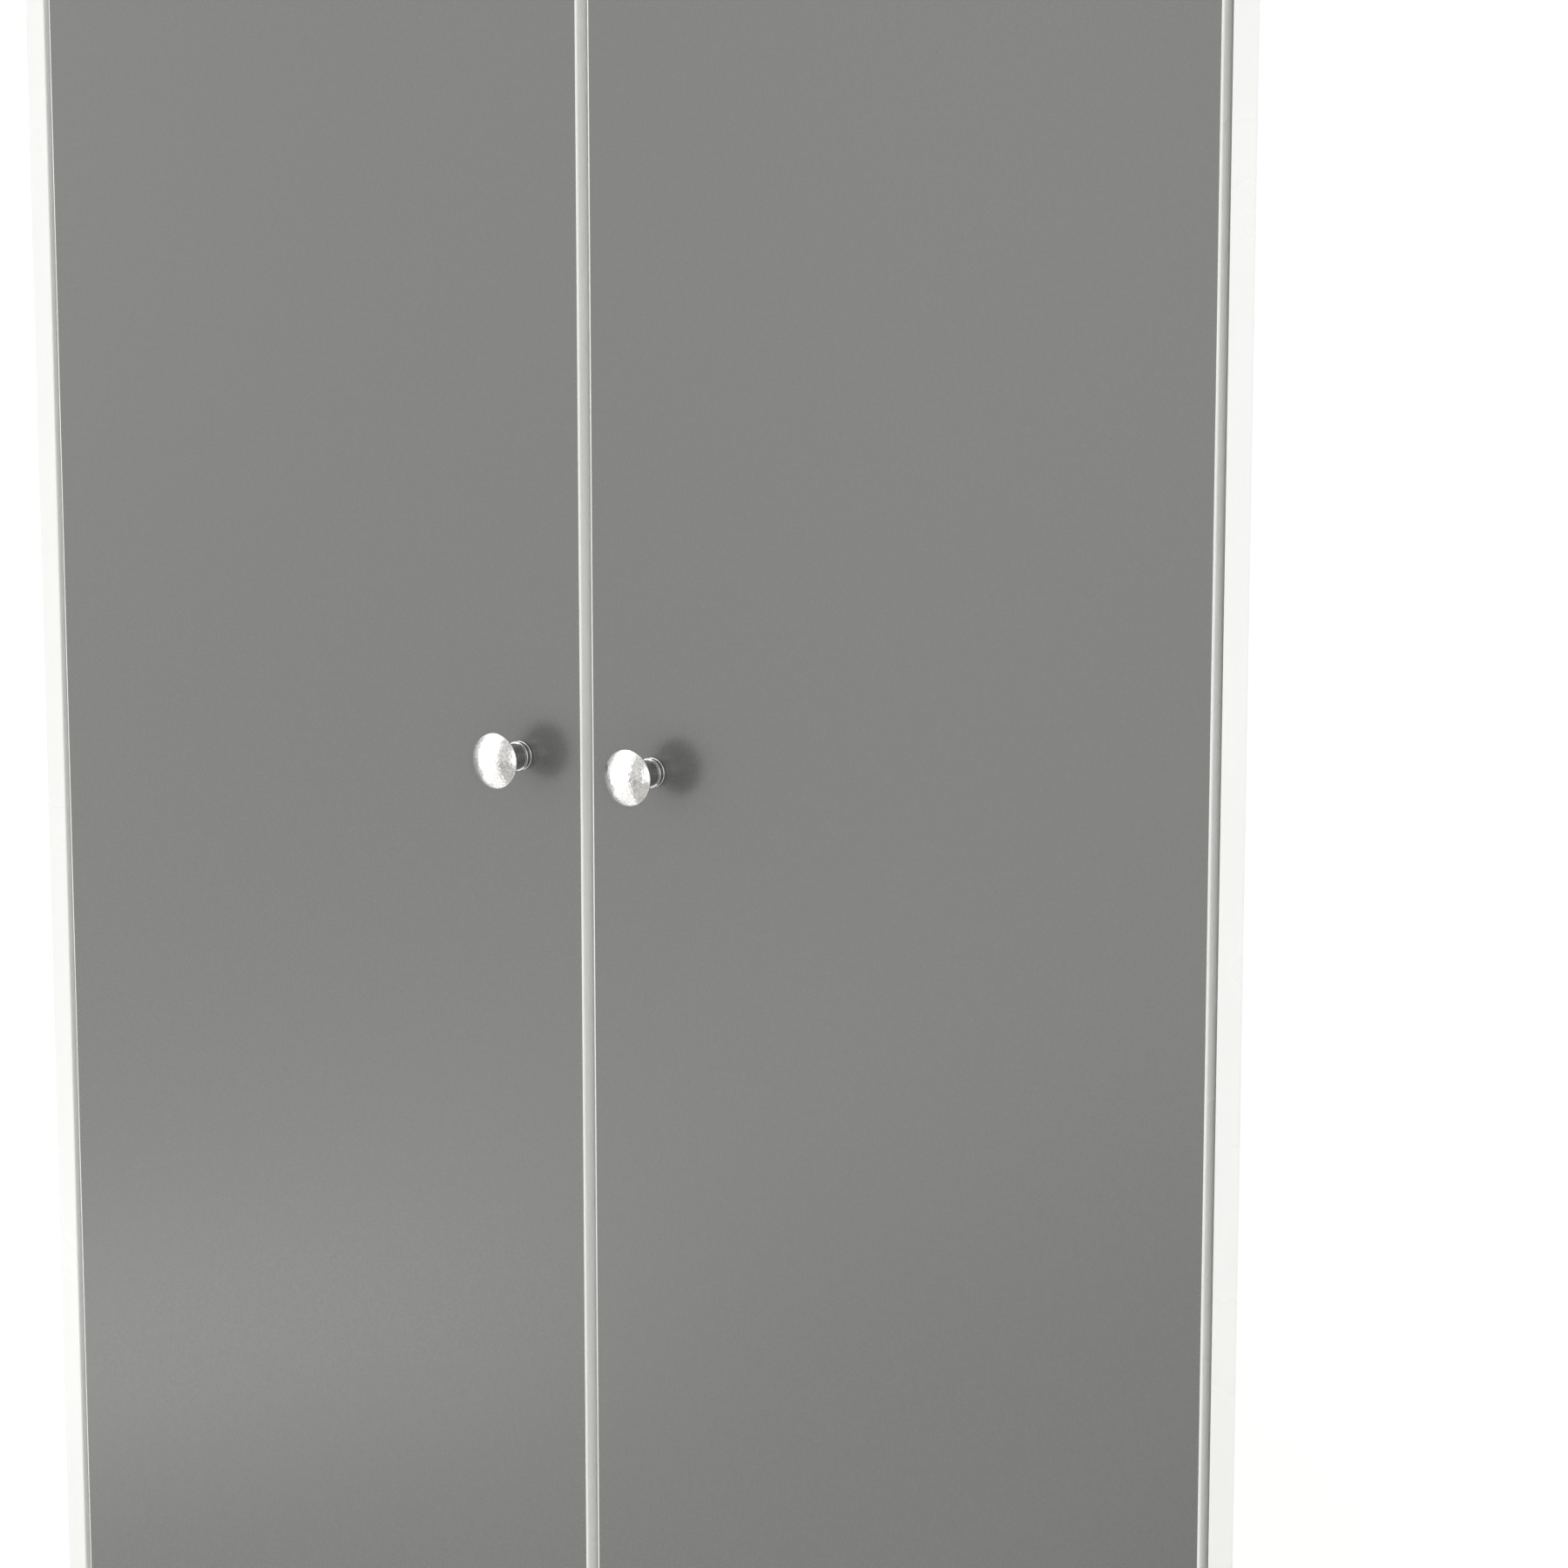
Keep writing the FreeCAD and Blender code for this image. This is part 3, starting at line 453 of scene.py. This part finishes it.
@dataclass
class Knob:
    """A mushroom knob with a shallow hammered dome, and the two-ring collar at its foot.

    Attributes:
        side: The door that it is on.
        neck: The neck's radius.
        rim: The radius of the rim's rounding.
        dome: How far the dome stands past the rim.
        flare: How long the neck's flare is under the head.
        dent_mm: The spacing of the hammer's dents.
        dent_depth: How deep the dents are.
        dent_fade: Over what reach past the rim the dents grow to their full depth.
        dome_rings: Rings of faces from the rim to the dome's top.
        steps: Segments in a full turn.
        collar_play: The play between the neck and the collar.
        ring_share: How much of its place each of the collar's rings fills.
        collar_steps: Segments in the collar's full turn.
    """

    side: str
    neck: float = 8.1 * MM
    rim: float = 0.7 * MM
    dome: float = 6.0 * MM
    flare: float = 4.0 * MM
    dent_mm: float = 1.6
    dent_depth: float = 0.12 * MM
    dent_fade: float = 0.8 * MM
    dome_rings: int = 48
    steps: int = 192
    collar_play: float = 0.05 * MM
    ring_share: float = 0.9
    collar_steps: int = 96

    def build(self, palette: Palette) -> None:
        """Turn and hammer the knob, turn its collar, and dress both.

        Args:
            palette: The finishes.
        """
        low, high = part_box(f"{self.side}_door_knob")
        foot = Vector(((low.x + high.x) / 2, high.y, (low.z + high.z) / 2))
        axis = Vector((0, -1, 0))
        radius = (high.x - low.x) / 2
        length = high.y - low.y
        knob = lathe(f"{self.side}_knob", self.head_profile(radius, length), foot, axis, self.steps)
        self.hammer(knob, high.y - (length - self.dome))
        smooth(knob, 50)
        finish_piece(knob, palette["hammered_nickel"], f"{self.side}_door",
                     [f"{self.side}_door_knob"])
        collar_low, collar_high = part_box(f"{self.side}_door_knob_collar")
        outline = self.collar_profile((collar_high.x - collar_low.x) / 2, collar_high.y - collar_low.y)
        collar = lathe(f"{self.side}_knob_collar", outline, foot, axis, self.collar_steps)
        smooth(collar, 50)
        finish_piece(collar, palette["polished_chrome"], f"{self.side}_door",
                     [f"{self.side}_door_knob_collar"])

    def head_profile(self, radius: float, length: float) -> list[Point]:
        """Half of the knob's section, from its foot round the rim to the dome's top.

        Args:
            radius: The head's radius.
            length: The knob's whole reach.

        Returns:
            Radius and reach of each point.
        """
        rim_reach = length - self.dome - self.rim
        under = rim_reach - self.rim
        sphere = (radius ** 2 + self.dome ** 2) / (2 * self.dome)
        edge = math.degrees(math.asin((radius - self.rim) / sphere))
        points: list[Point] = [(0.0, 0.0), (self.neck, 0.0), (self.neck, under - self.flare)]
        points += arc((self.neck + self.flare, under - self.flare), self.flare, 180, 95, 8)
        points += arc((radius - self.rim, rim_reach), self.rim, -80, 90 - edge, 6)
        start = points[-1]
        sag = length - (sphere - math.sqrt(sphere ** 2 - start[0] ** 2))
        for step in range(1, self.dome_rings + 1):
            share = 1 - step / self.dome_rings
            across = start[0] * share
            reach = length - (sphere - math.sqrt(sphere ** 2 - across ** 2))
            points.append((across, reach + (start[1] - sag) * share))
        return points

    def hammer(self, knob: bpy.types.Object, rim_plane: float) -> None:
        """Dent the dome, and leave the rim and neck smooth.

        Args:
            knob: The turned knob.
            rim_plane: The y coordinate of the dome's foot.
        """
        group = knob.vertex_groups.new(name="dome")
        for vertex in knob.data.vertices:
            depth = rim_plane - vertex.co.y
            weight = min(max(depth / self.dent_fade, 0.0), 1.0)
            if weight:
                group.add([vertex.index], weight, "REPLACE")
        dents = bpy.data.textures.new(f"{self.side}_dents", "VORONOI")
        dents.distance_metric = "DISTANCE_SQUARED"
        dents.noise_scale = self.dent_mm * MM
        apply_modifier(knob, "DISPLACE", texture=dents, strength=self.dent_depth, mid_level=0.5,
                       vertex_group="dome", texture_coords="LOCAL")
        knob.vertex_groups.clear()

    def collar_profile(self, radius: float, length: float) -> list[Point]:
        """Half of the collar's section: two rounded rings with a groove between them.

        Args:
            radius: The rings' radius.
            length: The collar's reach.

        Returns:
            Radius and reach of each point.
        """
        ring = length / 6
        half = ring * self.ring_share
        bore = self.neck + self.collar_play
        groove = (self.neck + radius) / 2
        swell = radius - groove
        points: list[Point] = [(bore, 0.0)]
        for middle in (ring, length - ring):
            points.append((groove, middle - half))
            points += [(groove + swell * math.sin(math.radians(turn)),
                        middle - half * math.cos(math.radians(turn))) for turn in range(20, 161, 20)]
            points.append((groove, middle + half))
        points.append((bore, length))
        points.append((bore, 0.0))
        return points


# ------------------------------------------------------------------ hanging rail

@dataclass
class HangingRail:
    """The oval tube across the hanging bay.

    Attributes:
        wall: The tube's wall.
        corners: Corners round the tube.
    """

    wall: float = 1.0 * MM
    corners: int = 64

    def build(self, palette: Palette) -> None:
        """Draw the oval, pull it into a tube and give it a wall.

        Args:
            palette: The finishes.
        """
        low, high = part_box("hanging_rail")
        middle = (low + high) / 2
        radius = (high.y - low.y) / 2
        straight = (high.z - low.z) / 2 - radius
        deselect()
        bpy.ops.mesh.primitive_circle_add(vertices=self.corners, radius=radius,
                                          location=(low.x, middle.y, middle.z),
                                          rotation=(0, math.pi / 2, 0))
        rail = bpy.context.object
        rail.name = "oval_rail"
        settle(rail)
        for vertex in rail.data.vertices:
            lift = vertex.co.z - middle.z
            if abs(lift) > SAME_PLACE:
                vertex.co.z += math.copysign(straight, lift)
        bpy.ops.object.mode_set(mode="EDIT")
        bpy.ops.mesh.select_all(action="SELECT")
        bpy.ops.mesh.extrude_region_move(TRANSFORM_OT_translate={"value": (high.x - low.x, 0, 0)})
        bpy.ops.mesh.select_all(action="SELECT")
        bpy.ops.mesh.normals_make_consistent(inside=False)
        bpy.ops.object.mode_set(mode="OBJECT")
        apply_modifier(rail, "SOLIDIFY", thickness=self.wall, offset=-1.0)
        smooth(rail, 40)
        finish_piece(rail, palette["polished_chrome"], "carcass", ["hanging_rail"])


# ------------------------------------------------------------------ screws

@dataclass
class ScrewSet:
    """Wood screws with a cross recess, one for each solid of a CAD node of screws.

    Attributes:
        node: The CAD node that they stand for.
        body: The body that they ride on.
        recess: The recess's span, as a share of the head's diameter.
        bar: The width of each of its two bars, as a share of the span.
        recess_depth: How deep it is cut.
        taper: How wide its floor is, as a share of its mouth.
        edge: The head's bevel, across and down.
        under: The head's rim under its cone.
        turn: How far each screw is turned past the one before, in degrees.
        steps: Segments in a full turn.
    """

    node: str
    body: str
    recess: float = 0.56
    bar: float = 0.2
    recess_depth: float = 0.65 * MM
    taper: float = 0.45
    edge: Point = (0.15 * MM, 0.12 * MM)
    under: float = 0.3 * MM
    turn: float = 37.0
    steps: int = 24

    def build(self, palette: Palette) -> None:
        """Make one screw, put a copy at each place, and join them.

        Args:
            palette: The finishes.
        """
        copies = []
        pattern: bpy.types.Object | None = None
        for number, corners in enumerate(solids_of(self.node)):
            head, way, length, head_radius, shank_radius = self.measure(corners)
            if pattern is None:
                pattern = self.pattern(length, head_radius, shank_radius)
            aim = Vector((0, 0, -1)).rotation_difference(way).to_matrix().to_4x4()
            spin = Matrix.Rotation(math.radians(self.turn * number), 4, "Z")
            copies.append(copy_mesh(pattern, f"{self.node}_{number}", Matrix.Translation(head) @ aim @ spin))
        bpy.data.objects.remove(pattern)
        deselect()
        for twin in copies:
            twin.select_set(True)
        bpy.context.view_layer.objects.active = copies[0]
        if len(copies) > 1:
            bpy.ops.object.join()
        screws = copies[0]
        screws.name = f"recessed_{self.node}"
        smooth(screws, 35)
        finish_piece(screws, palette["zinc_plated_steel"], self.body, [self.node])

    def measure(self, corners: list[Vector]) -> tuple[Vector, Vector, float, float, float]:
        """Read one screw's place and sizes from its CAD solid.

        Args:
            corners: The solid's corners.

        Returns:
            The head's centre, the way it points, its length, its head's radius and its shank's.
        """
        low = Vector([min(c[i] for c in corners) for i in range(3)])
        high = Vector([max(c[i] for c in corners) for i in range(3)])
        size = high - low
        along = max(range(3), key=lambda i: size[i])
        side = (along + 1) % 3
        middle = (low + high) / 2
        near = max(abs(c[side] - middle[side]) for c in corners if c[along] < low[along] + 0.1 * MM)
        far = max(abs(c[side] - middle[side]) for c in corners if c[along] > high[along] - 0.1 * MM)
        head_low = near > far
        head = middle.copy()
        head[along] = low[along] if head_low else high[along]
        way = Vector((0, 0, 0))
        way[along] = 1.0 if head_low else -1.0
        return head, way, size[along], max(near, far), min(near, far)

    def pattern(self, length: float, head_radius: float, shank_radius: float) -> bpy.types.Object:
        """One screw that points down from the origin, with a cross cut in its head.

        Args:
            length: The screw's whole length.
            head_radius: The head's radius.
            shank_radius: The shank's radius.

        Returns:
            The screw.
        """
        rise = head_radius - shank_radius
        profile: list[Point] = [(0.0, 0.0), (head_radius - self.edge[0], 0.0), (head_radius, self.edge[1]),
                                (shank_radius, rise + self.under), (shank_radius, length - shank_radius),
                                (0.0, length)]
        screw = lathe("screw", profile, Vector((0, 0, 0)), Vector((0, 0, -1)), self.steps)
        span = 2 * head_radius * self.recess
        bars = []
        for angle in (0, math.pi / 2):
            deselect()
            bpy.ops.mesh.primitive_cube_add(size=1, location=(0, 0, 0), rotation=(0, 0, angle),
                                            scale=(span, span * self.bar, 2 * self.recess_depth))
            bar = bpy.context.object
            settle(bar)
            bpy.ops.object.mode_set(mode="EDIT")
            bpy.ops.mesh.select_mode(type="FACE")
            bpy.ops.mesh.select_all(action="DESELECT")
            bpy.ops.object.mode_set(mode="OBJECT")
            for polygon in bar.data.polygons:
                polygon.select = polygon.normal.z < -0.5
            bpy.ops.object.mode_set(mode="EDIT")
            bpy.ops.transform.resize(value=(self.taper, self.taper, 1),
                                     center_override=(0, 0, -self.recess_depth))
            bpy.ops.object.mode_set(mode="OBJECT")
            bars.append(bar)
        for bar in bars:
            apply_modifier(screw, "BOOLEAN", operation="DIFFERENCE", object=bar, solver="EXACT")
        for bar in bars:
            bpy.data.objects.remove(bar)
        return screw


# ------------------------------------------------------------------ studio

@dataclass(frozen=True)
class SoftBox:
    """One soft box, upright or tipped.

    Attributes:
        name: Its name.
        start: Where its first side stands on the floor, as x and y.
        end: Where its other side stands.
        centre_height: How high its middle is.
        height: How tall it is.
        radiance: How brightly it glows.
        turned: Whether it faces left of the way from start to end, and not right.
        dip: How far it tips its face downwards.
        matt: Whether it lights matt surfaces.
        gloss: Whether it shows in reflections.
    """

    name: str
    start: Point
    end: Point
    centre_height: float
    height: float
    radiance: float
    turned: bool = False
    dip: float = 0.0
    matt: bool = True
    gloss: bool = True


@dataclass
class Studio:
    """A pale floor, soft lights and the camera.

    Attributes:
        bearing: The camera's bearing from straight in front, towards the right, in degrees.
        tilt: How far the camera looks down, in degrees.
        distance: From the camera to the point that it aims at.
        aim: That point, right of the middle and above the knobs, on the side panels' front edges.
        lens: The camera's focal length in millimetres.
        floor_size: The floor's side.
        soft_glow: The surroundings' glow on matt surfaces.
        gloss_glow: Their glow in reflections.
        background: Their glow as the background.
        floor_glow: The floor's own glow, which melts its far side into the background.
        floor_bounce: How much of a glow it casts on the armoire.
        boxes: The soft boxes.
    """

    bearing: float = 36.205
    tilt: float = 10.016
    distance: float = 2.678
    aim: Point = (0.1438, 0.0026)
    lens: float = 107.166
    floor_size: float = 14.0
    soft_glow: float = 0.44
    gloss_glow: float = 1.0
    background: float = 1.05
    floor_glow: float = 0.6
    floor_bounce: float = 0.16
    boxes: tuple[SoftBox, ...] = (
        SoftBox("left_matt_box", (-0.35, -3.40), (-2.80, -0.35), 1.45, 2.9, 0.88, gloss=False),
        SoftBox("left_gloss_box", (-1.25, -2.19), (-2.36, -0.70), 1.6, 3.1, 1.5, matt=False),
        SoftBox("middle_gloss_box", (-0.55, -3.13), (-1.25, -2.19), 1.6, 3.1, 1.9, matt=False),
        SoftBox("high_gloss_box", (-0.80, -4.10), (-3.40, -0.90), 4.4, 2.2, 1.4, dip=0.6, matt=False),
        SoftBox("floor_gloss_box", (-1.15, -1.80), (-1.75, -1.00), 0.01, 0.9, 2.2, dip=-20, matt=False),
        SoftBox("low_gloss_box", (-1.23, -0.26), (-1.78, -2.96), 0.02, 2.4, 0.8, dip=-20, matt=False),
        SoftBox("top_matt_box", (-0.70, 0.35), (0.70, 0.35), 3.0, 1.0, 1.9, dip=20, gloss=False),
        SoftBox("strip_box", (1.98, -2.42), (2.08, -2.30), 1.5, 0.6, 36, turned=True, gloss=False),
        SoftBox("front_gloss_box", (1.50, -3.40), (2.35, -2.60), 1.35, 2.6, 1.3, turned=True, matt=False),
        SoftBox("right_soft_box", (2.05, -2.45), (2.70, -0.40), 1.35, 2.6, 0.45, turned=True),
        SoftBox("side_soft_box", (2.75, -0.20), (2.75, 2.60), 1.35, 2.6, 1.95, turned=True),
        SoftBox("rear_soft_box", (-1.0, 4.5), (-5.0, 4.5), 2.2, 1.6, 2.5, turned=True, dip=0.8),
    )

    def build(self) -> None:
        """Set the whole studio up."""
        self.place_camera()
        self.lay_floor()
        self.set_surroundings()
        for box in self.boxes:
            self.hang_box(box)
        bpy.context.scene.view_settings.view_transform = "Standard"

    def place_camera(self) -> None:
        """Put the camera at its bearing and tilt from the aim point."""
        knob_low, knob_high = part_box("left_door_knob")
        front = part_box("side_band_left")[0].y
        target = Vector((self.aim[0], front, (knob_low.z + knob_high.z) / 2 + self.aim[1]))
        turn, dip = math.radians(self.bearing), math.radians(self.tilt)
        back = Vector((math.sin(turn) * math.cos(dip), -math.cos(turn) * math.cos(dip), math.sin(dip)))
        deselect()
        bpy.ops.object.camera_add(location=target + back * self.distance,
                                  rotation=(math.pi / 2 - dip, 0, turn))
        camera = bpy.context.object
        camera.name = "camera"
        camera.data.lens = self.lens
        camera.data.sensor_width = SENSOR_MM
        bpy.context.scene.camera = camera

    def lay_floor(self) -> None:
        """Lay the pale floor that the armoire stands on."""
        deselect()
        bpy.ops.mesh.primitive_plane_add(size=self.floor_size, location=(0, 0, 0))
        floor = bpy.context.object
        floor.name = "floor"
        finish = FLOOR_PAINT.build()
        shader = finish.node_tree.nodes["Principled BSDF"]
        shader.inputs["Emission Color"].default_value = (1, 1, 1, 1)
        seen = add_node(finish.node_tree, "LightPath").outputs["Is Camera Ray"]
        glow = add_node(finish.node_tree, "Math", {0: seen, 1: self.floor_glow, 2: self.floor_bounce},
                        operation="MULTIPLY_ADD")
        finish.node_tree.links.new(glow.outputs[0], shader.inputs["Emission Strength"])
        floor.data.materials.append(finish)

    def set_surroundings(self) -> None:
        """Surround the armoire with even light: white to the eye, bright to gloss, softer to the rest."""
        world = bpy.data.worlds.new("pale_surroundings")
        bpy.context.scene.world = world
        world.use_nodes = True
        tree = world.node_tree
        tree.nodes["Background"].inputs["Strength"].default_value = 0
        path = add_node(tree, "LightPath")
        glow = add_node(tree, "Mix", {"Factor": path.outputs["Is Glossy Ray"], 2: self.soft_glow,
                                      3: self.gloss_glow})
        shown = add_node(tree, "Mix", {"Factor": path.outputs["Is Camera Ray"], 2: glow.outputs[0],
                                       3: self.background})
        light = add_node(tree, "Background", {"Color": (1, 1, 1, 1), "Strength": shown.outputs[0]})
        tree.links.new(light.outputs[0], tree.nodes["World Output"].inputs["Surface"])

    def hang_box(self, box: SoftBox) -> None:
        """Hang one soft box, unseen by the camera.

        Args:
            box: The soft box.
        """
        start, end = Vector((*box.start, 0)), Vector((*box.end, 0))
        along = (end - start).normalized()
        facing = Vector((-along.y, along.x, 0)) if box.turned else Vector((along.y, -along.x, 0))
        facing = (facing + Vector((0, 0, -box.dip))).normalized()
        middle = (start + end) / 2 + Vector((0, 0, box.centre_height))
        deselect()
        bpy.ops.object.light_add(type="AREA", location=middle,
                                 rotation=facing.to_track_quat("-Z", "Y").to_euler())
        lamp = bpy.context.object
        lamp.name = box.name
        lamp.visible_camera = False
        lamp.visible_diffuse = box.matt
        lamp.visible_glossy = box.gloss
        lamp.data.shape = "RECTANGLE"
        lamp.data.size = (end - start).length
        lamp.data.size_y = box.height
        lamp.data.energy = box.radiance * math.pi * lamp.data.size * lamp.data.size_y


# ------------------------------------------------------------------ making

SCREW_SETS = {
    "rail_socket_screws": "carcass", "wall_bracket_screws": "carcass", "pivot_leaf_screws": "carcass",
    "catch_screws": "carcass", "left_door_screws": "left_door", "right_door_screws": "right_door",
}


def main() -> None:
    """Build the studio, the pieces and their finishes, in order."""
    logging.basicConfig(level=logging.INFO, format="%(name)s: %(message)s")
    palette = Palette()
    Studio().build()
    palette.dress_cad()
    for side in ("left", "right"):
        Knob(side).build(palette)
    HangingRail().build(palette)
    for node, body in SCREW_SETS.items():
        ScrewSet(node, body).build(palette)


if __name__ == "__main__":
    main()
